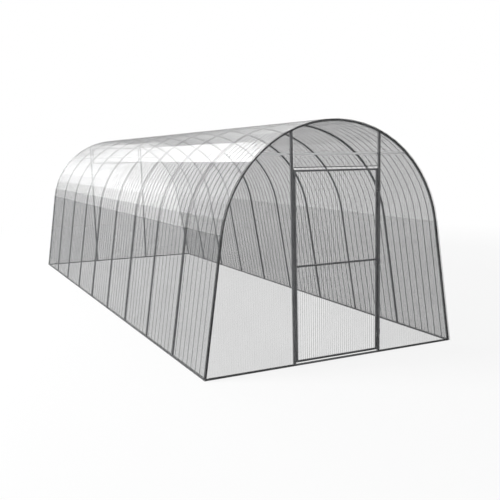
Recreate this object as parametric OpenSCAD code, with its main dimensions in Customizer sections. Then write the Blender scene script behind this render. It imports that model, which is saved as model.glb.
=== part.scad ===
// Polytunnel greenhouse: bent tube arches on a base rail, clad in clear twin-wall sheet,
// with a hinged door in the front end and a vent window high in the rear end.
// Millimetres. +Z is up, +Y runs along the house from the door end, origin at the middle of the ground.

/* [House] */
// Width between the two feet of an arch, on their centre lines at ground level
house_w = 3000; // [2400:50:4000]
// Height of the knee, where the straight leg turns into the round roof
knee_h = 1400; // [1200:10:1500]
// Lean of the straight legs, inwards from upright, in degrees
wall_lean = 8.9; // [4:0.1:10]
// Distance from one arch to the next
bay_l = 1000; // [650:10:1500]

/* [Tubes] */
// Side of the square steel tube
tube = 20; // [15:1:30]
// Width of the front face of the end posts
post_w = 30; // [20:1:50]
// How far the middle of the tie bars lies below the middle of the arch at its top
tie_drop = 336; // [240:2:400]

/* [Sheets] */
// Thickness of the twin-wall sheet
sheet_t = 6; // [4:1:10]
// How far the roof sheets reach past the end arches
sheet_overhang = 20; // [18:1:60]
// Height of the lower edge of every fixed sheet above the ground
sheet_lift = 5; // [2:1:15]
// Gap between neighbouring sheets where they meet over a tube
sheet_gap = 5; // [2:1:12]

/* [Door] */
// Width of the door leaf
leaf_w = 1000; // [700:10:1100]
// Gap between the leaf and each post
leaf_gap = 5; // [5:1:10]
// Height of the underside of the leaf above the ground
leaf_low = 35; // [32:1:60]
// Height of the top of the leaf above the ground
leaf_top = 2005; // [1800:5:2040]
// Height of the middle rail of the leaf, at its middle
leaf_mid = 1035; // [700:5:1300]
// Gap between the top of the leaf and the sheet above it
transom_gap = 20; // [8:1:40]

/* [Door hinges] */
// Height of one hinge
hinge_h = 60; // [45:1:90]
// Radius of the hinge knuckles
knuckle_r = 5; // [4:0.5:6]
// Radius of the hinge pin
pin_r = 2.5; // [2:0.1:3]
// Width of one hinge plate, from the pin
plate_w = 28; // [22:1:30]
// Thickness of the hinge plates
plate_t = 3; // [2:0.5:4]
// Distance from the ends of the leaf to the outer hinges
hinge_inset = 170; // [100:10:300]

/* [Rear vent] */
// Gap between the vent frame and each rear post
vent_side = 20; // [10:1:80]
// How far the top of the vent frame lies below the middle of the arch at its top
vent_drop = 139; // [130:1:180]
// Height of the vent frame
vent_h = 315; // [240:5:400]
// How far the vent sheet reaches past its frame, above and below
vent_lap = 10; // [4:1:20]

/* [Hidden] */
$fn = 240;

// Colours of the steel tube, the hinges and the sheet
steel_colour = [0.42, 0.43, 0.45];
hinge_colour = [0.55, 0.56, 0.58];
sheet_colour = [0.80, 0.83, 0.85, 0.35];

// Gap left between a curved face and the face that seats on it
seat = 0.3;
// Sideways play of the pin in a knuckle, and the play between two knuckles
pin_play = 0.05;
knuckle_play = 0.3;
// Gap between a knuckle and the sheet behind it, and between a knuckle and the other plate
knuckle_clear = 0.5;
// A length that reaches beyond the whole house, for trimming
beyond = 5000;

arches = 10;
arches_per_sheet = 2;
hinges = 3;

half_tube = tube / 2;
half_l = ((arches - 1) * bay_l + tube) / 2;
arc_r = (house_w / 2 - knee_h * tan(wall_lean)) / cos(wall_lean);
arc_z = knee_h - arc_r * sin(wall_lean);
crown_z = arc_z + arc_r;
tie_z = crown_z - tie_drop;
vent_top = crown_z - vent_drop;
vent_low = vent_top - vent_h;
opening_x = leaf_w / 2 + leaf_gap;
pane_x = opening_x - sheet_gap;
rail_out = leg_x(half_tube, tube);
rail_in = rail_out - tube;
hinge_x = leaf_w / 2 + leaf_gap / 2;
hinge_y = -(sheet_t + knuckle_clear + knuckle_r);

// Lines that run beside the centre line of an arch, d further out: the leg, and the knee point
function leg_x(d, z) = house_w / 2 + d / cos(wall_lean) - z * tan(wall_lean);
function knee_x(d) = (arc_r + d) * cos(wall_lean);
function knee_z(d) = arc_z + (arc_r + d) * sin(wall_lean);

function arch_y(n) = -half_l + half_tube + (n - 1) * bay_l;
function sheet_start(n) = n == 1 ? -half_l - sheet_overhang
    : arch_y(1 + (n - 1) * arches_per_sheet) + sheet_gap / 2;
function sheet_end(n) = 1 + n * arches_per_sheet > arches ? half_l + sheet_overhang
    : arch_y(1 + n * arches_per_sheet) - sheet_gap / 2;
function hinge_z(n) = leaf_low + hinge_inset
    + (n - 1) * (leaf_top - leaf_low - 2 * hinge_inset - hinge_h) / (hinges - 1);

// Turns a drawing in the plane of an arch upright, from y0 to y0 + depth
module upright(y0, depth) {
    translate([0, y0 + depth, 0]) rotate([90, 0, 0]) children();
}

// Places what is measured inwards from the outer face of the front or the rear end
module at_front() {
    translate([0, -half_l, 0]) children();
}

module at_rear() {
    mirror([0, 1, 0]) at_front() children();
}

module box(low, high) {
    translate(low) cube(high - low);
}

// One half of the section of the house, between two lines beside the arch, from height z0 up:
// the straight leg and the round roof share the line where they meet
module half_section(d0, d1, z0, depth) {
    intersection() {
        translate([0, arc_z, 0]) rotate([0, 0, wall_lean]) {
            rotate_extrude(angle = 90) translate([arc_r + d0, 0]) square([d1 - d0, depth]);
            translate([arc_r + d0, -beyond / 2, 0]) cube([d1 - d0, beyond / 2, depth]);
        }
        box([0, z0, 0], [beyond, beyond, depth]);
    }
}

module section_band(d0, d1, z0, y0, depth) {
    upright(y0, depth) for (side = [0, 1])
        mirror([side, 0, 0]) half_section(d0, d1, z0, depth);
}

// An arch: one tube, bent to the round roof, standing on both side rails
module arch(n) {
    color(steel_colour)
        section_band(-half_tube, half_tube, tube, arch_y(n) - half_tube, tube);
}

// Side rails lie on the ground under the feet, end rails between them
module side_rail(side) {
    color(steel_colour)
        mirror([side < 0 ? 1 : 0, 0, 0])
            box([rail_in, -half_l, 0], [rail_out, half_l, tube]);
}

module end_rail() {
    color(steel_colour)
        box([-rail_in, 0, 0], [rail_in, tube, tube]);
}

// A post stands on the end rail and is cut to the underside of the arch
module end_post(side) {
    x1 = opening_x + post_w;
    color(steel_colour) mirror([side < 0 ? 1 : 0, 0, 0]) {
        box([opening_x, 0, tube], [x1, tube, arc_z]);
        intersection() {
            box([opening_x, 0, arc_z], [x1, tube, crown_z]);
            translate([0, beyond / 2, arc_z]) rotate([90, 0, 0])
                cylinder(r = arc_r - half_tube - seat, h = beyond);
        }
    }
}

// A tie bar runs behind the posts from one side of the arch to the other
module tie_bar() {
    tie_x = sqrt(pow(arc_r, 2) - pow(tie_z + half_tube - arc_z, 2));
    color(steel_colour)
        box([-tie_x, tube, tie_z - half_tube], [tie_x, 2 * tube, tie_z + half_tube]);
}

// The door leaf: a frame of two stiles and three rails
module leaf_stile(side) {
    color(steel_colour)
        mirror([side < 0 ? 1 : 0, 0, 0])
            box([leaf_w / 2 - tube, 0, leaf_low], [leaf_w / 2, tube, leaf_top]);
}

module leaf_rail(low) {
    color(steel_colour)
        box([-(leaf_w / 2 - tube), 0, low], [leaf_w / 2 - tube, tube, low + tube]);
}

module leaf_sheet() {
    color(sheet_colour)
        box([-leaf_w / 2, -sheet_t, leaf_low], [leaf_w / 2, 0, leaf_top]);
}

// One hinge plate, flat on the sheet, without its knuckles. side is 1 over the post, -1 over the leaf
module hinge_plate(side) {
    edge = knuckle_r + knuckle_clear;
    mirror([side < 0 ? 1 : 0, 0, 0])
        box([edge, -sheet_t - plate_t - hinge_y, 0], [plate_w, -sheet_t - hinge_y, hinge_h]);
}

module knuckle(side, low, high) {
    cylinder(r = knuckle_r, h = high - low);
    mirror([side < 0 ? 1 : 0, 0, 0])
        box([0, -sheet_t - plate_t - hinge_y, 0], [knuckle_r + knuckle_clear, -sheet_t - hinge_y, high - low]);
}

module each_hinge() {
    for (n = [1 : hinges]) translate([hinge_x, hinge_y, hinge_z(n)]) children();
}

module door_plates() {
    third = hinge_h / 3;
    color(hinge_colour) each_hinge() difference() {
        union() {
            hinge_plate(-1);
            translate([0, 0, third + knuckle_play / 2])
                knuckle(-1, third + knuckle_play / 2, 2 * third - knuckle_play / 2);
        }
        translate([0, 0, -hinge_h]) cylinder(r = pin_r + pin_play, h = 3 * hinge_h);
    }
}

module post_plates() {
    third = hinge_h / 3;
    color(hinge_colour) each_hinge() {
        hinge_plate(1);
        knuckle(1, 0, third - knuckle_play / 2);
        translate([0, 0, 2 * third + knuckle_play / 2])
            knuckle(1, 2 * third + knuckle_play / 2, hinge_h);
        cylinder(r = pin_r, h = hinge_h);
    }
}

// The vent: a welded frame between the rear posts, against the outside of the tie bar
module vent_bars() {
    half_w = opening_x - vent_side;
    color(steel_colour) difference() {
        box([-half_w, 0, vent_low], [half_w, tube, vent_top]);
        box([-half_w + tube, -tube, vent_low + tube], [half_w - tube, 2 * tube, vent_top - tube]);
    }
}

module vent_pane() {
    color(sheet_colour)
        box([-pane_x, -sheet_t, vent_low - vent_lap], [pane_x, 0, vent_top + vent_lap]);
}

// A roof sheet: bent over the arches from the ground on one side to the ground on the other
module roof_sheet(n) {
    inner = half_tube + seat;
    color(sheet_colour)
        section_band(inner, inner + sheet_t, sheet_lift, sheet_start(n), sheet_end(n) - sheet_start(n));
}

// The end wall's outline between two upright lines: round above the knee, straight below it
module end_outline(x0, x1, z0) {
    d = half_tube;
    if (z0 < knee_z(d))
        upright(-sheet_t, sheet_t) linear_extrude(sheet_t)
            polygon([[x0, z0], [min(x1, leg_x(d, z0)), z0], [min(x1, knee_x(d)), knee_z(d)], [x0, knee_z(d)]]);
    intersection() {
        translate([0, 0, arc_z]) rotate([90, 0, 0]) cylinder(r = arc_r + d, h = sheet_t);
        box([x0, -sheet_t, max(z0, knee_z(d))], [x1, 0, crown_z + tube]);
    }
}

module end_side_sheet(side) {
    color(sheet_colour)
        mirror([side < 0 ? 1 : 0, 0, 0]) end_outline(opening_x, beyond, sheet_lift);
}

module front_top_sheet() {
    color(sheet_colour) end_outline(-pane_x, pane_x, leaf_top + transom_gap);
}

module rear_top_sheet() {
    color(sheet_colour) end_outline(-pane_x, pane_x, vent_top + vent_lap + sheet_gap);
}

module rear_low_sheet() {
    color(sheet_colour)
        box([-pane_x, -sheet_t, sheet_lift], [pane_x, 0, vent_low - vent_lap - sheet_gap]);
}

arch(1);  // arch_1
arch(2);  // arch_2
arch(3);  // arch_3
arch(4);  // arch_4
arch(5);  // arch_5
arch(6);  // arch_6
arch(7);  // arch_7
arch(8);  // arch_8
arch(9);  // arch_9
arch(10);  // arch_10
side_rail(-1);  // base_rail_left
side_rail(1);  // base_rail_right
at_front() end_rail();  // base_rail_front
at_rear() end_rail();  // base_rail_rear
at_front() end_post(-1);  // front_post_left
at_front() end_post(1);  // front_post_right
at_rear() end_post(-1);  // rear_post_left
at_rear() end_post(1);  // rear_post_right
at_front() tie_bar();  // front_tie_bar
at_rear() tie_bar();  // rear_tie_bar
at_front() leaf_stile(-1);  // door_stile_left
at_front() leaf_stile(1);  // door_stile_right
at_front() leaf_rail(leaf_top - tube);  // door_top_rail
at_front() leaf_rail(leaf_mid - half_tube);  // door_mid_rail
at_front() leaf_rail(leaf_low);  // door_bottom_rail
at_front() leaf_sheet();  // door_sheet
at_front() door_plates();  // door_hinge_plates
at_front() post_plates();  // post_hinge_plates
at_rear() vent_bars();  // vent_frame
at_rear() vent_pane();  // vent_sheet
roof_sheet(1);  // roof_sheet_1
roof_sheet(2);  // roof_sheet_2
roof_sheet(3);  // roof_sheet_3
roof_sheet(4);  // roof_sheet_4
roof_sheet(5);  // roof_sheet_5
at_front() end_side_sheet(-1);  // front_sheet_left
at_front() end_side_sheet(1);  // front_sheet_right
at_front() front_top_sheet();  // front_sheet_top
at_rear() end_side_sheet(-1);  // rear_sheet_left
at_rear() end_side_sheet(1);  // rear_sheet_right
at_rear() rear_low_sheet();  // rear_sheet_low
at_rear() rear_top_sheet();  // rear_sheet_top
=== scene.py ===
from math import ceil, cos, pi, radians, sin, sqrt, tan

import bmesh
import bpy
from mathutils import Matrix, Vector


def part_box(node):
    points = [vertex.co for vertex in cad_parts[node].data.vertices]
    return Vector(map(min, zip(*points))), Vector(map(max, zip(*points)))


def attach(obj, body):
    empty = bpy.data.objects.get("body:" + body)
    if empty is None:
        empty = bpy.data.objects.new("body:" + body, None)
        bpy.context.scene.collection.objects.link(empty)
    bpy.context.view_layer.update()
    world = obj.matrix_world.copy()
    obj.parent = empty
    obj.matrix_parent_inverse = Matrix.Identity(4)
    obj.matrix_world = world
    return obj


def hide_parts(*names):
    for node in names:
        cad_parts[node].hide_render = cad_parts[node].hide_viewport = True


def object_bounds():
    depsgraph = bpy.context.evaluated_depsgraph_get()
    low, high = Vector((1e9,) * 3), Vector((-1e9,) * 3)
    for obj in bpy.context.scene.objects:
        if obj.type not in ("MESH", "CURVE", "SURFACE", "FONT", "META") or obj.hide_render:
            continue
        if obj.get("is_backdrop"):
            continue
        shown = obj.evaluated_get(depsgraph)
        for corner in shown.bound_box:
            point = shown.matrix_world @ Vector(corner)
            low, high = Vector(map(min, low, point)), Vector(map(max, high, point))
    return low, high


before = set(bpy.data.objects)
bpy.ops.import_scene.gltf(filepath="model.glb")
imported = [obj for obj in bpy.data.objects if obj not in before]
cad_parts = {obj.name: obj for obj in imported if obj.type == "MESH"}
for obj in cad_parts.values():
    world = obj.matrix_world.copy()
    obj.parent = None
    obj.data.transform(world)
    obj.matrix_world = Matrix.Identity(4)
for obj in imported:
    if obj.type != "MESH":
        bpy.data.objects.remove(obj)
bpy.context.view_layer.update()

# The camera stands a little over two metres high, off the front left corner, and looks along
# the left wall. Its place, turn and lens give the photograph's perspective, and the small shift
# its framing.
photo_side = 500
focal_pixels = 711.7
centre_pixel = Vector((310.4, 278.7))
sensor = 36.0
sight_end = 1000
camera_spot = Vector((-3.797, -10.806, 2.130))
camera_turn, camera_tilt, camera_roll = radians(28.86), radians(-9.71), radians(-0.66)

camera = bpy.data.objects.new("camera", bpy.data.cameras.new("camera"))
bpy.context.scene.collection.objects.link(camera)
bpy.context.scene.camera = camera
camera.data.sensor_width = sensor
camera.data.lens = sensor * focal_pixels / photo_side
camera.data.shift_x = (photo_side / 2 - centre_pixel.x) / photo_side
camera.data.shift_y = (centre_pixel.y - photo_side / 2) / photo_side
camera.data.clip_end = sight_end
ahead = Vector((sin(camera_turn) * cos(camera_tilt), cos(camera_turn) * cos(camera_tilt), sin(camera_tilt)))
level = Vector((cos(camera_turn), -sin(camera_turn), 0))
above = level.cross(ahead)
right = level * cos(camera_roll) + above * sin(camera_roll)
up = above * cos(camera_roll) - level * sin(camera_roll)
camera.matrix_world = Matrix.Translation(camera_spot) @ Matrix((right, up, -ahead)).transposed().to_4x4()

# The studio: a pale floor that runs out to a white background, an even grey sky, a broad lamp
# on the left, and four softboxes beyond the rear end, which the roof mirrors. The background is
# white only where it is looked at; what it lights is the plain grey.
sky_fill = 0.35
sky_tint = (0.98, 0.99, 1.0, 1)
white = (1, 1, 1, 1)
key_spot, key_target = (-20, 4, 7.5), (0, 0, 1)
key_side, key_radiance = 10, 26.0
# Each softbox: its middle, width, height, radiance, and the shares of both over which it fades.
softboxes = {"tall_softbox": ((1.2, 34, 18.2), 9.2, 25.5, 7.0, (0.22, 0.5)),
             "low_softbox": ((-7.0, 33.5, 7.6), 12.6, 10.4, 2.5, (0.3, 0.5)),
             "wide_softbox": ((-8.2, 33, 11.4), 19, 19.8, 2.2, (0.25, 0.3)),
             "side_softbox": ((14, 34.5, 16), 20, 18, 1.9, (0.2, 0.5))}
floor_reach = 150
floor_white = (0.92, 0.92, 0.92, 1)
glow_near, glow_far = 0.86, 1.0
glow_from, glow_to = 7.5, 13.0
layers_seen_through = 64


def step(tree, kind, settings={}, **sockets):
    """A node with its settings made. Each socket, by its name or as s and its number, is set or linked."""
    node = tree.nodes.new(kind)
    for key, value in settings.items():
        setattr(node, key, value)
    for key, value in sockets.items():
        numbered = key[0] == "s" and key[1:].isdigit()
        socket = node.inputs[int(key[1:])] if numbered else node.inputs[key.replace("_", " ")]
        if isinstance(value, bpy.types.NodeSocket):
            tree.links.new(value, socket)
        else:
            socket.default_value = value
    return node


def lamp(name, spot, target, width, height, radiance):
    """A rectangular lamp that shines from spot towards target."""
    light = bpy.data.lights.new(name, "AREA")
    light.shape = "RECTANGLE"
    light.size, light.size_y = width, height
    light.energy = radiance * pi * width * height
    box = bpy.data.objects.new(name, light)
    bpy.context.scene.collection.objects.link(box)
    box.location = spot
    box.rotation_euler = (Vector(target) - Vector(spot)).to_track_quat("-Z", "Y").to_euler()
    box.visible_camera = False
    return box


def fade_out(light, shares):
    """The lamp grows dim towards its edges, over a share of its width and a share of its height."""
    light.use_nodes = True
    tree = light.node_tree
    geometry = step(tree, "ShaderNodeNewGeometry")
    face = step(tree, "ShaderNodeSeparateXYZ", s0=geometry.outputs["Parametric"])
    fades = []
    for axis, share in enumerate(shares):
        inward = step(tree, "ShaderNodeMath", {"operation": "PINGPONG"}, s0=face.outputs[axis], s1=0.5)
        fades.append(step(tree, "ShaderNodeMapRange", s0=inward.outputs[0], From_Max=share).outputs[0])
    glow = step(tree, "ShaderNodeMath", {"operation": "MULTIPLY"}, s0=fades[0], s1=fades[1])
    tree.links.new(glow.outputs[0], tree.nodes["Emission"].inputs["Strength"])


def seen_directly(tree):
    """1 where a thing is looked at, straight, through glass or in a mirror, and 0 where it gives light."""
    ways = step(tree, "ShaderNodeLightPath").outputs
    seen = ways["Is Camera Ray"]
    for way in ("Is Glossy Ray", "Is Transmission Ray"):
        either = step(tree, "ShaderNodeMath", {"operation": "MAXIMUM"}, s0=seen, s1=ways[way])
        seen = either.outputs[0]
    return seen


lamp("key_lamp", key_spot, key_target, key_side, key_side, key_radiance).visible_glossy = False
for name, (spot, width, height, radiance, shares) in softboxes.items():
    softbox = lamp(name, spot, (spot[0], 0, spot[2]), width, height, radiance)
    fade_out(softbox.data, shares)

world = bpy.data.worlds.new("studio")
bpy.context.scene.world = world
world.use_nodes = True
sky = world.node_tree
sky.nodes.clear()
sky_light = step(sky, "ShaderNodeBackground", Color=sky_tint, Strength=sky_fill)
sky_look = step(sky, "ShaderNodeBackground", Color=white, Strength=1)
sky_mix = step(sky, "ShaderNodeMixShader", s0=seen_directly(sky), s1=sky_light.outputs[0],
               s2=sky_look.outputs[0])
step(sky, "ShaderNodeOutputWorld", Surface=sky_mix.outputs[0])

floor_mesh = bpy.data.meshes.new("studio_floor")
floor_mesh.from_pydata([(-floor_reach, -floor_reach, 0), (floor_reach, -floor_reach, 0),
                        (floor_reach, floor_reach, 0), (-floor_reach, floor_reach, 0)], [], [(0, 1, 2, 3)])
floor = bpy.data.objects.new("studio_floor", floor_mesh)
bpy.context.scene.collection.objects.link(floor)
floor_paint = bpy.data.materials.new("studio_floor")
floor_paint.use_nodes = True
paint = floor_paint.node_tree
paint.nodes.clear()
floor_matt = step(paint, "ShaderNodeBsdfDiffuse", Color=floor_white)
floor_glow = step(paint, "ShaderNodeEmission", Strength=1)
floor_place = step(paint, "ShaderNodeNewGeometry")
how_far = step(paint, "ShaderNodeVectorMath", {"operation": "LENGTH"}, s0=floor_place.outputs["Position"])
glow_share = step(paint, "ShaderNodeMapRange", s0=how_far.outputs["Value"], From_Min=glow_from,
                  From_Max=glow_to, To_Min=glow_near, To_Max=glow_far)
glow_seen = step(paint, "ShaderNodeMath", {"operation": "MULTIPLY"}, s0=seen_directly(paint),
                 s1=glow_share.outputs[0])
floor_mix = step(paint, "ShaderNodeMixShader", s0=glow_seen.outputs[0], s1=floor_matt.outputs[0],
                 s2=floor_glow.outputs[0])
step(paint, "ShaderNodeOutputMaterial", Surface=floor_mix.outputs[0])
floor_mesh.materials.append(floor_paint)
floor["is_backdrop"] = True

bpy.context.scene.view_settings.view_transform = "Standard"
bpy.context.scene.cycles.transparent_max_bounces = layers_seen_through

# Base rails: square steel tube lying on the ground, a long one under the feet on each side and
# a short one between them at each end, welded at the corners. They are painted a satin grey.
# The front one is also the door's threshold.
rail_low, rail_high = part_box("base_rail_right")
tube = rail_high.z - rail_low.z
tube_round = 0.003
round_steps = 3
smooth_angle = 40
bead_radius = 0.002
bead_pitch = 0.0026
steel_dark = (0.064, 0.065, 0.067, 1)
steel_light = (0.088, 0.090, 0.093, 1)
paint_coat, coat_haze = 0.6, 0.2
grain_relief, grain_height = 0.12, 0.0004
COLOR, NUMBER = "NodeSocketColor", "NodeSocketFloat"


def group_tree(name, inputs, outputs):
    """A new shader node group and its two ends. inputs and outputs give each socket's kind by name."""
    tree = bpy.data.node_groups.new(name, "ShaderNodeTree")
    for socket, kind in inputs.items():
        tree.interface.new_socket(socket, in_out="INPUT", socket_type=kind)
    for socket, kind in outputs.items():
        tree.interface.new_socket(socket, in_out="OUTPUT", socket_type=kind)
    return tree, tree.nodes.new("NodeGroupInput"), tree.nodes.new("NodeGroupOutput")


def mill_marks():
    """Rolled and painted steel: broad cloudy patches, and a fine grain that runs through the paint."""
    tree, start, end = group_tree("mill_marks", {"Dark": COLOR, "Light": COLOR},
                                  {"Color": COLOR, "Roughness": NUMBER, "Height": NUMBER})
    place = step(tree, "ShaderNodeTexCoord").outputs["Object"]
    clouds = step(tree, "ShaderNodeTexNoise", Vector=place, Scale=9.0, Detail=4.0, Roughness=0.6)
    grain = step(tree, "ShaderNodeTexNoise", Vector=place, Scale=1400.0, Detail=2.0, Roughness=0.7)
    patches = step(tree, "ShaderNodeMapRange", Value=clouds.outputs["Fac"], From_Min=0.32, From_Max=0.68)
    tone = step(tree, "ShaderNodeMix", {"data_type": "RGBA"}, s0=patches.outputs[0], s6=start.outputs["Dark"],
                s7=start.outputs["Light"])
    rough = step(tree, "ShaderNodeMapRange", Value=clouds.outputs["Fac"], To_Min=0.34, To_Max=0.5)
    tree.links.new(tone.outputs[2], end.inputs["Color"])
    tree.links.new(rough.outputs[0], end.inputs["Roughness"])
    tree.links.new(grain.outputs["Fac"], end.inputs["Height"])
    return tree


mill_group = mill_marks()


def steel_paint(name, dark, light, metallic=0.0):
    """Steel with the mill marks, between two tones, under a clear coat."""
    paint = bpy.data.materials.new(name)
    paint.use_nodes = True
    tree = paint.node_tree
    surface = tree.nodes["Principled BSDF"]
    marks = step(tree, "ShaderNodeGroup", {"node_tree": mill_group}, Dark=dark, Light=light)
    relief = step(tree, "ShaderNodeBump", Strength=grain_relief, Distance=grain_height,
                  Height=marks.outputs["Height"])
    tree.links.new(marks.outputs["Color"], surface.inputs["Base Color"])
    tree.links.new(marks.outputs["Roughness"], surface.inputs["Roughness"])
    tree.links.new(relief.outputs[0], surface.inputs["Normal"])
    surface.inputs["Metallic"].default_value = metallic
    surface.inputs["Coat Weight"].default_value = paint_coat
    surface.inputs["Coat Roughness"].default_value = coat_haze
    return paint


frame_paint = steel_paint("frame_paint", steel_dark, steel_light)


def add_sweep(bm, rings, flip=False, faces=None):
    """Faces through like rings of points and one flat face at each end. faces gives each side's material."""
    loops = [[bm.verts.new(point) for point in ring] for ring in rings]
    count = len(rings[0])
    made = []
    for a, b in zip(loops, loops[1:]):
        for i in range(count):
            j = (i + 1) % count
            face = bm.faces.new((a[i], a[j], b[j], b[i]))
            face.material_index = faces[i] if faces else 0
            made.append(face)
    made.append(bm.faces.new(loops[0][::-1]))
    made.append(bm.faces.new(loops[-1]))
    if flip:
        bmesh.ops.reverse_faces(bm, faces=made)
    return made


def new_piece(name, bm, materials, body, nodes=(), smooth_under=smooth_angle):
    """The piece made of bm, riding on its body in the place of its nodes."""
    mesh = bpy.data.meshes.new(name)
    bm.to_mesh(mesh)
    bm.free()
    for material in materials:
        mesh.materials.append(material)
    if smooth_under:
        mesh.shade_smooth()
        mesh.set_sharp_from_angle(angle=radians(smooth_under))
    piece = bpy.data.objects.new(name, mesh)
    bpy.context.scene.collection.objects.link(piece)
    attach(piece, body)
    if nodes:
        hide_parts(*nodes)


def steel_piece(name, bm, material, body="house", nodes=()):
    """A piece of steel tube, weld or screw. A piece in the place of a node has its faces turned outwards."""
    if nodes:
        bmesh.ops.recalc_face_normals(bm, faces=bm.faces)
    new_piece(name, bm, [material], body, nodes)


def rounded_section(width, depth, radius=tube_round):
    """The outline of a rectangular tube about its middle, anticlockwise from its first corner."""
    outline = []
    for turn, (sx, sy) in enumerate(((1, 1), (-1, 1), (-1, -1), (1, -1))):
        for i in range(round_steps + 1):
            angle = radians(90 * (turn + i / round_steps))
            outline.append((sx * (width / 2 - radius) + radius * cos(angle),
                            sy * (depth / 2 - radius) + radius * sin(angle)))
    return outline


def add_bar(bm, low, high, radius=tube_round):
    """A straight tube that fills the box between two corners, along its longest side."""
    low, high = Vector(low), Vector(high)
    size, middle = high - low, (low + high) / 2
    along = max(range(3), key=lambda axis: size[axis])
    u, v = (along + 1) % 3, (along + 2) % 3
    rings = []
    for end in (low[along], high[along]):
        ring = []
        for a, b in rounded_section(size[u], size[v], radius):
            point = [0, 0, 0]
            point[along], point[u], point[v] = end, middle[u] + a, middle[v] + b
            ring.append(point)
        rings.append(ring)
    add_sweep(bm, rings)


def bar_piece(node, material=frame_paint, body="house", radius=tube_round):
    """A straight tube in the place of a node."""
    bm = bmesh.new()
    add_bar(bm, *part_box(node), radius)
    steel_piece(node + "_tube", bm, material, body, [node])


def add_bead(bm, start, end, radius=bead_radius):
    """A weld between two points: a row of round ripples, each half over the last."""
    start, end = Vector(start), Vector(end)
    count = max(2, round((end - start).length / bead_pitch))
    for i in range(count + 1):
        bmesh.ops.create_icosphere(bm, subdivisions=1, radius=radius,
                                   matrix=Matrix.Translation(start.lerp(end, i / count)))


for side in ("left", "right", "front", "rear"):
    bar_piece("base_rail_" + side)
bm = bmesh.new()
for end in ("front", "rear"):
    low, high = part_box("base_rail_" + end)
    inside = high.y if end == "front" else low.y
    for x in (low.x, high.x):
        add_bead(bm, (x, low.y, high.z), (x, high.y, high.z))
        add_bead(bm, (x, inside, low.z + bead_radius), (x, inside, high.z))
steel_piece("rail_corner_welds", bm, frame_paint)

# Arches: each is one square tube, bent to a round roof over two straight legs that lean inwards.
# The feet stand on the side rails and are welded to them. The front arch has the rails' dark
# paint. The ones inside have the same steel painted paler, a painted lightening for the light that falls on
# them.
arches = 10
house_half = 1.5
knee_up = 1.4
lean = radians(8.9)
arc_r = (house_half - knee_up * tan(lean)) / cos(lean)
arc_z = knee_up - arc_r * sin(lean)
knee_turn = radians(90) - lean
arch_steps = 60
# Painted light: these tones are the frame's steel made paler to stand for the light on the inner arches.
arch_painted_lit_dark = (0.155, 0.158, 0.162, 1)
arch_painted_lit_light = (0.205, 0.209, 0.214, 1)
arch_painted_lit = steel_paint("arch_painted_lit", arch_painted_lit_dark, arch_painted_lit_light)


def on_leg(out, z):
    """A point of the right leg at height z, out from the middle of the tube."""
    return house_half + out / cos(lean) - z * tan(lean), z


def on_arc(out, turn):
    """A point of the round roof, turned from the crown to the right, out from the middle of the tube."""
    return (arc_r + out) * sin(turn), arc_z + (arc_r + out) * cos(turn)


def over_house(out, low, steps):
    """A line over the house beside the arch, from height low on the right to the left."""
    right_leg = on_leg(out, low)
    turns = [knee_turn * (1 - 2 * i / steps) for i in range(steps + 1)]
    return [right_leg] + [on_arc(out, turn) for turn in turns] + [(-right_leg[0], right_leg[1])]


for n in range(1, arches + 1):
    node = f"arch_{n}"
    low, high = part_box(node)
    middle = (low.y + high.y) / 2
    lines = [(b, over_house(a, tube, arch_steps)) for a, b in rounded_section(tube, tube)]
    bm = bmesh.new()
    add_sweep(bm, [[(line[k][0], middle + b, line[k][1]) for b, line in lines]
                   for k in range(arch_steps + 3)])
    # The inner arches take the paler copy of the steel, painted light.
    steel_piece(node + "_tube", bm, frame_paint if n == 1 else arch_painted_lit, nodes=[node])
    foot_in = on_leg(-tube / 2, tube)[0] + bead_radius / 2
    foot_out = on_leg(tube / 2, tube)[0] - bead_radius / 2
    bm = bmesh.new()
    for y, inside in ((low.y, n > 1), (high.y, n < arches)):
        if inside:
            for side in (1, -1):
                add_bead(bm, (side * foot_in, y, tube), (side * foot_out, y, tube))
    steel_piece(node + "_foot_welds", bm, frame_paint)

# End posts: two in each end, of wider tube, from the end rail to the underside of the arch,
# where they are cut to its curve. The front pair makes the doorway. Their grey is paler still.
post_gap = 0.0003
post_dark = (0.17, 0.173, 0.178, 1)
post_light = (0.23, 0.234, 0.240, 1)
post_paint = steel_paint("post_paint", post_dark, post_light)


def under_arch(x, gap=0.0):
    """The height over x of the arch's underside, less a gap."""
    return arc_z + sqrt((arc_r - tube / 2 - gap) ** 2 - x ** 2)


for end in ("front", "rear"):
    for side in ("left", "right"):
        node = f"{end}_post_{side}"
        low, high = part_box(node)
        middle = (low + high) / 2
        outline = [(middle.x + a, middle.y + b) for a, b in rounded_section(high.x - low.x, high.y - low.y)]
        bm = bmesh.new()
        add_sweep(bm, [[(x, y, low.z) for x, y in outline],
                       [(x, y, under_arch(x, post_gap)) for x, y in outline]])
        steel_piece(node + "_tube", bm, post_paint, nodes=[node])
        bm = bmesh.new()
        for x in (low.x, high.x):
            for z in (low.z, under_arch(x)):
                add_bead(bm, (x, low.y + bead_radius, z), (x, high.y - bead_radius, z))
        steel_piece(node + "_welds", bm, post_paint)

# Tie bars: one tube across each end, behind the posts, welded to them and to the sides of the
# arch. Their corners are well rounded. They are bare zinc, paler than the painted frame.
zinc_dark = (0.90, 0.91, 0.92, 1)
zinc_light = (0.96, 0.965, 0.97, 1)
zinc = steel_paint("zinc_coat", zinc_dark, zinc_light, metallic=1.0)
tie_round = 0.0095
tie_bead_in = 0.005

for end in ("front", "rear"):
    bar_piece(end + "_tie_bar", zinc, radius=tie_round)
    low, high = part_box(end + "_tie_bar")
    bm = bmesh.new()
    for side in ("left", "right"):
        post_low, post_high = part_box(f"{end}_post_{side}")
        post_face = post_high.y if end == "front" else post_low.y
        for z in (low.z + tie_bead_in, high.z - tie_bead_in):
            add_bead(bm, (post_low.x + tube_round, post_face, z), (post_high.x - tube_round, post_face, z))
    steel_piece(end + "_tie_welds", bm, zinc)

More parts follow.
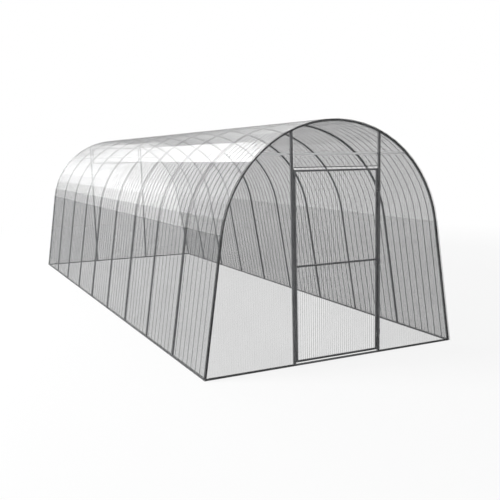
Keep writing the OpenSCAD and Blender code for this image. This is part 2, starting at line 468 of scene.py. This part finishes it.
# Roof sheets: clear twin-wall sheet of smoky grey, bent over the arches from ground to ground.
# Webs along the flutes join two thin skins, with a stout rib at every eighth of a bay. The bend
# lies in flats, a hand's breadth each, and dust has dulled the upright walls.
roof_sheets = 5
sheet_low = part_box("front_sheet_left")[0].z
sheet_thick = 0.006
sheet_seat = 0.0003
flats = 24
flat_rise = (arc_r + tube / 2) * (1 / cos(knee_turn / flats) - 1)
sheet_in = tube / 2 + sheet_seat + flat_rise
sheet_out = tube / 2 + sheet_thick
skin_t, web_t, rib_t = 0.0006, 0.001, 0.012
rib_pitch = 0.125
flutes_per_rib = 5
flute_pitch = rib_pitch / flutes_per_rib
least_flute = 0.3
smoke = (0.045, 0.047, 0.049, 1)
skin_cover, web_cover, wall_cover = 0.14, 0.15, 0.175
flute_cover, rib_cover = 0.075, 1.0
skin_gloss, flute_gloss, web_gloss, rib_gloss, wall_gloss = 0.14, 0.5, 0.4, 0.8, 0.3
roof_mirror, flute_mirror, web_mirror, rib_mirror, wall_mirror = 1.0, 0.1, 0.2, 0.03, 0.3
skin_slant, flute_slant = (14.0, 0.5), (3.0, 0.15)
polish_ior, polish_haze = 2.2, 0.08
plastic_ior = 1.58
line_relief, line_height = 0.1, 0.0003


def extrusion_marks():
    """Drawn plastic: faint lines along the flutes and a thin film of dust."""
    tree, start, end = group_tree("extrusion_marks",
                                  {"Across": NUMBER, "Tint": COLOR, "Cover": NUMBER, "Gloss": NUMBER},
                                  {"Color": COLOR, "Alpha": NUMBER, "Roughness": NUMBER, "Height": NUMBER})
    times = {"operation": "MULTIPLY"}
    place = step(tree, "ShaderNodeTexCoord").outputs["Object"]
    lines = step(tree, "ShaderNodeTexNoise", {"noise_dimensions": "1D"}, W=start.outputs["Across"],
                 Scale=260.0, Detail=3.0)
    dust = step(tree, "ShaderNodeTexNoise", Vector=place, Scale=2.3, Detail=5.0, Roughness=0.62)
    line_share = step(tree, "ShaderNodeMapRange", Value=lines.outputs["Fac"], From_Min=0.3, From_Max=0.7,
                      To_Min=0.94, To_Max=1.06).outputs[0]
    dust_share = step(tree, "ShaderNodeMapRange", Value=dust.outputs["Fac"], From_Min=0.3, From_Max=0.7,
                      To_Min=0.95, To_Max=1.05).outputs[0]
    both = step(tree, "ShaderNodeMath", times, s0=line_share, s1=dust_share).outputs[0]
    cover = step(tree, "ShaderNodeMath", times, s0=both, s1=start.outputs["Cover"])
    rough = step(tree, "ShaderNodeMath", times, s0=both, s1=start.outputs["Gloss"])
    tint = step(tree, "ShaderNodeVectorMath", {"operation": "SCALE"}, s0=start.outputs["Tint"],
                Scale=dust_share)
    tree.links.new(tint.outputs[0], end.inputs["Color"])
    tree.links.new(cover.outputs[0], end.inputs["Alpha"])
    tree.links.new(rough.outputs[0], end.inputs["Roughness"])
    tree.links.new(lines.outputs["Fac"], end.inputs["Height"])
    return tree


marks_group = extrusion_marks()


def clear_plastic(name, across, cover, gloss, mirror, slant=None):
    """Twin-wall plastic. across is the axis that runs over the flutes, 0 for X and 1 for Y. slant gives
    how late and how far the cover rises towards a glancing view. A full mirror is polished."""
    plastic = bpy.data.materials.new(name)
    plastic.use_nodes = True
    tree = plastic.node_tree
    surface = tree.nodes["Principled BSDF"]
    place = step(tree, "ShaderNodeTexCoord")
    apart = step(tree, "ShaderNodeSeparateXYZ", Vector=place.outputs["Object"])
    marks = step(tree, "ShaderNodeGroup", {"node_tree": marks_group}, Across=apart.outputs[across],
                 Tint=smoke, Cover=cover, Gloss=gloss)
    relief = step(tree, "ShaderNodeBump", Strength=line_relief, Distance=line_height,
                  Height=marks.outputs["Height"])
    alpha = marks.outputs["Alpha"]
    if slant:
        late, most = slant
        facing = step(tree, "ShaderNodeLayerWeight", Blend=0.5).outputs["Facing"]
        rise = step(tree, "ShaderNodeMath", {"operation": "POWER"}, s0=facing, s1=late).outputs[0]
        alpha = step(tree, "ShaderNodeMapRange", Value=rise, To_Min=alpha, To_Max=most).outputs[0]
    tree.links.new(marks.outputs["Color"], surface.inputs["Base Color"])
    tree.links.new(alpha, surface.inputs["Alpha"])
    tree.links.new(marks.outputs["Roughness"], surface.inputs["Roughness"])
    tree.links.new(relief.outputs[0], surface.inputs["Normal"])
    surface.inputs["IOR"].default_value = plastic_ior
    surface.inputs["Specular IOR Level"].default_value = mirror
    if mirror == 1:
        surface.inputs["Coat Weight"].default_value = 1.0
        surface.inputs["Coat IOR"].default_value = polish_ior
        surface.inputs["Coat Roughness"].default_value = polish_haze
    return plastic


def plastic_set(kind, across, skin_cover, web_cover, mirror):
    """The four finishes of a sheet: its skins, the insides of its flutes, its webs and its stout ribs."""
    return [clear_plastic(kind + "_skin", across, skin_cover, skin_gloss, mirror, skin_slant),
            clear_plastic(kind + "_flute", across, flute_cover, flute_gloss, flute_mirror, flute_slant),
            clear_plastic(kind + "_web", across, web_cover, web_gloss, web_mirror),
            clear_plastic(kind + "_rib", across, rib_cover, rib_gloss, rib_mirror)]


SKIN, FLUTE, WEB, RIB, WALL = range(5)
FLUTE_SIDES = [FLUTE, WEB, FLUTE, WEB]
roof_plastic = plastic_set("roof", 1, skin_cover, web_cover, roof_mirror)
roof_plastic.append(clear_plastic("roof_wall", 1, wall_cover, wall_gloss, wall_mirror, skin_slant))


def flute_edges(start, end, first_rib, stout=True):
    """The webs between start and end: (place, thickness), stout at every rib and thin between."""
    edges = []
    count = ceil((start - first_rib) / flute_pitch + least_flute)
    while first_rib + count * flute_pitch < end - least_flute * flute_pitch:
        thickness = rib_t if stout and count % flutes_per_rib == 0 else web_t
        edges.append((first_rib + count * flute_pitch, thickness))
        count += 1
    return [(start + web_t, web_t)] + edges + [(end - web_t, web_t)]


outer_line = over_house(sheet_out, sheet_low, flats)
inner_line = over_house(sheet_in, sheet_low, flats)
flute_out = over_house(sheet_out - skin_t, sheet_low + web_t, flats)
flute_in = over_house(sheet_in + skin_t, sheet_low + web_t, flats)
arch_low, arch_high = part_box("arch_1")
first_arch = (arch_low.y + arch_high.y) / 2

for n in range(1, roof_sheets + 1):
    node = f"roof_sheet_{n}"
    low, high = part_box(node)
    edges = flute_edges(low.y, high.y, first_arch)
    cuts, strips = [low.y], []
    for y, t in edges:
        if t == rib_t:
            cuts += [y - t / 2, y + t / 2]
            strips += [SKIN, RIB]
    cuts, strips = cuts + [high.y], strips + [SKIN]
    bm = bmesh.new()
    skins = add_sweep(bm, [[(a[0], y, a[1]) for y in cuts] + [(b[0], y, b[1]) for y in reversed(cuts)]
                           for a, b in zip(outer_line, inner_line)],
                      faces=strips + [SKIN] * (len(cuts) + 1))
    one_flat = 2 * len(cuts)
    for face in skins[:one_flat] + skins[-2 - one_flat:]:
        if face.material_index == SKIN:
            face.material_index = WALL
    for (y0, t0), (y1, t1) in zip(edges, edges[1:]):
        y0, y1 = y0 + t0 / 2, y1 - t1 / 2
        add_sweep(bm, [[(a[0], y0, a[1]), (a[0], y1, a[1]), (b[0], y1, b[1]), (b[0], y0, b[1])]
                       for a, b in zip(flute_out, flute_in)], flip=True, faces=FLUTE_SIDES)
    new_piece(node + "_fluted", bm, roof_plastic, "house", [node], smooth_under=0)

# End sheets: the same sheet with upright flutes, beside, over and under the openings in each
# end. They lie flat on the outside of the arch, posts and rails. The ones beside and over the
# openings are a smoother make with clear webs, and a dark strip closes the ones over them.
end_skin_cover, end_web_cover = 0.035, 0.45
side_skin_cover, side_web_cover = 0.078, 0.1
end_mirror = 0.5
end_plastic = plastic_set("end", 0, end_skin_cover, end_web_cover, end_mirror)
side_plastic = plastic_set("side", 0, side_skin_cover, side_web_cover, end_mirror)
closing_strip = 0.007
least_height = 3 * web_t


def under_roof(x):
    """The height of the arch's outer edge over x."""
    out = tube / 2
    knee_x = on_arc(out, knee_turn)[0]
    if abs(x) > knee_x:
        return (on_leg(out, 0)[0] - abs(x)) / tan(lean)
    return arc_z + sqrt((arc_r + out) ** 2 - x ** 2)


def end_sheet(node, top_at=None, body="house", strip=0, materials=end_plastic):
    """The fluted sheet in the place of an end node. top_at gives its upper edge over x where that isn't
    level, and strip the height of the closing strip along its lower edge."""
    low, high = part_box(node)
    front, back = low.y, high.y
    top_at = top_at or (lambda x: high.z)
    edges = flute_edges(low.x, high.x, 0, stout=False)
    places = sorted({low.x, high.x} | {x for x, _ in edges[1:-1]})
    foot = [low.z, low.z + strip] if strip else [low.z]
    bm = bmesh.new()
    add_sweep(bm, [[(x, front, z) for z in foot + [top_at(x)]]
                   + [(x, back, z) for z in [top_at(x)] + foot[::-1]] for x in places],
              faces=[RIB, SKIN, SKIN, SKIN, RIB, RIB] if strip else None)
    near, far = front + skin_t, back - skin_t
    flute_low = low.z + web_t
    for (xa, ta), (xb, tb) in zip(edges, edges[1:]):
        xa, xb = xa + ta / 2, xb - tb / 2
        if min(top_at(xa), top_at(xb)) - low.z < least_height:
            continue
        add_sweep(bm, [[(xa, near, za), (xb, near, zb), (xb, far, zb), (xa, far, za)]
                       for za, zb in ((flute_low, flute_low), (top_at(xa) - web_t, top_at(xb) - web_t))],
                  flip=True, faces=FLUTE_SIDES)
    bmesh.ops.recalc_face_normals(bm, faces=[f for f in bm.faces if f.material_index in (SKIN, RIB)])
    new_piece(node + "_fluted", bm, materials, body, [node], smooth_under=0)


for end in ("front", "rear"):
    for side in ("left", "right"):
        end_sheet(f"{end}_sheet_{side}", under_roof, materials=side_plastic)
    end_sheet(end + "_sheet_top", under_roof, strip=closing_strip, materials=side_plastic)
end_sheet("rear_sheet_low")

# The door leaf: two stiles and three rails of the frame's tube, welded, with the fluted sheet
# fixed to its face. Three butt hinges hang it on the right post, each plate held by two
# round-headed socket screws of bright steel.
hinge_dark, hinge_light = (0.06, 0.061, 0.063, 1), (0.085, 0.087, 0.09, 1)
screw_dark, screw_light = (0.42, 0.42, 0.43, 1), (0.55, 0.55, 0.56, 1)
fine_bead = 0.0015
plate_face = -4.519
hinge_heights = (0.205, 0.990, 1.775)
door_screws_x, post_screws_x = 0.4845, 0.5205
screw_apart = 0.030
head_r, head_high, head_sunk = 0.0036, 0.0014, 0.0002
# The head's roundness, as shares of its radius and height, from its rim to its top.
head_profile = ((1, 0.45), (0.86, 0.8), (0.62, 1))
socket_r, socket_deep = 0.0014, 0.0009
head_sides = 24

for node in ("door_stile_left", "door_stile_right", "door_top_rail", "door_mid_rail", "door_bottom_rail"):
    bar_piece(node, post_paint, "door")
end_sheet("door_sheet", body="door")
bm = bmesh.new()
for node in ("door_top_rail", "door_mid_rail", "door_bottom_rail"):
    low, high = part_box(node)
    for x in (low.x, high.x):
        add_bead(bm, (x, high.y, low.z + tube_round), (x, high.y, high.z - tube_round), fine_bead)
steel_piece("door_corner_welds", bm, post_paint, "door")
hinge_steel = steel_paint("hinge_steel", hinge_dark, hinge_light)
for node in ("door_hinge_plates", "post_hinge_plates"):
    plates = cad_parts[node]
    plates.data.materials.clear()
    plates.data.materials.append(hinge_steel)


def add_screw(bm, x, z):
    """A screw head that faces the front, with a six-sided socket."""
    steps = [(head_r, -head_sunk, False)]
    steps += [(across * head_r, rise * head_high, False) for across, rise in head_profile]
    steps += [(socket_r, head_high, True), (socket_r, head_high - socket_deep, True)]
    rings = []
    for radius, out, six_sided in steps:
        ring = []
        for i in range(head_sides):
            turn = 2 * pi * i / head_sides
            reach = radius
            if six_sided:
                reach *= cos(radians(30)) / cos(turn % radians(60) - radians(30))
            ring.append((x + reach * cos(turn), plate_face - out, z + reach * sin(turn)))
        rings.append(ring)
    add_sweep(bm, rings)


screw_steel = steel_paint("screw_steel", screw_dark, screw_light, metallic=1.0)
for name, body, x in (("door_hinge_screws", "door", door_screws_x),
                      ("post_hinge_screws", "house", post_screws_x)):
    bm = bmesh.new()
    for z in hinge_heights:
        for side in (-1, 1):
            add_screw(bm, x, z + side * screw_apart / 2)
    bmesh.ops.recalc_face_normals(bm, faces=bm.faces)
    steel_piece(name, bm, screw_steel, body)

# The rear vent: a small welded frame between the posts, against the tie bar, with its own sheet.
# It is shut.
low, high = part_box("vent_frame")
bm = bmesh.new()
for x in (low.x, high.x - tube):
    add_bar(bm, (x, low.y, low.z), (x + tube, high.y, high.z))
for z in (low.z, high.z - tube):
    add_bar(bm, (low.x + tube, low.y, z), (high.x - tube, high.y, z + tube))
steel_piece("vent_frame_tubes", bm, frame_paint, nodes=["vent_frame"])
bm = bmesh.new()
for x in (low.x + tube, high.x - tube):
    for z in (low.z, high.z - tube):
        add_bead(bm, (x, low.y, z + tube_round), (x, low.y, z + tube - tube_round), fine_bead)
steel_piece("vent_corner_welds", bm, frame_paint)
end_sheet("vent_sheet")

low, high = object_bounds()
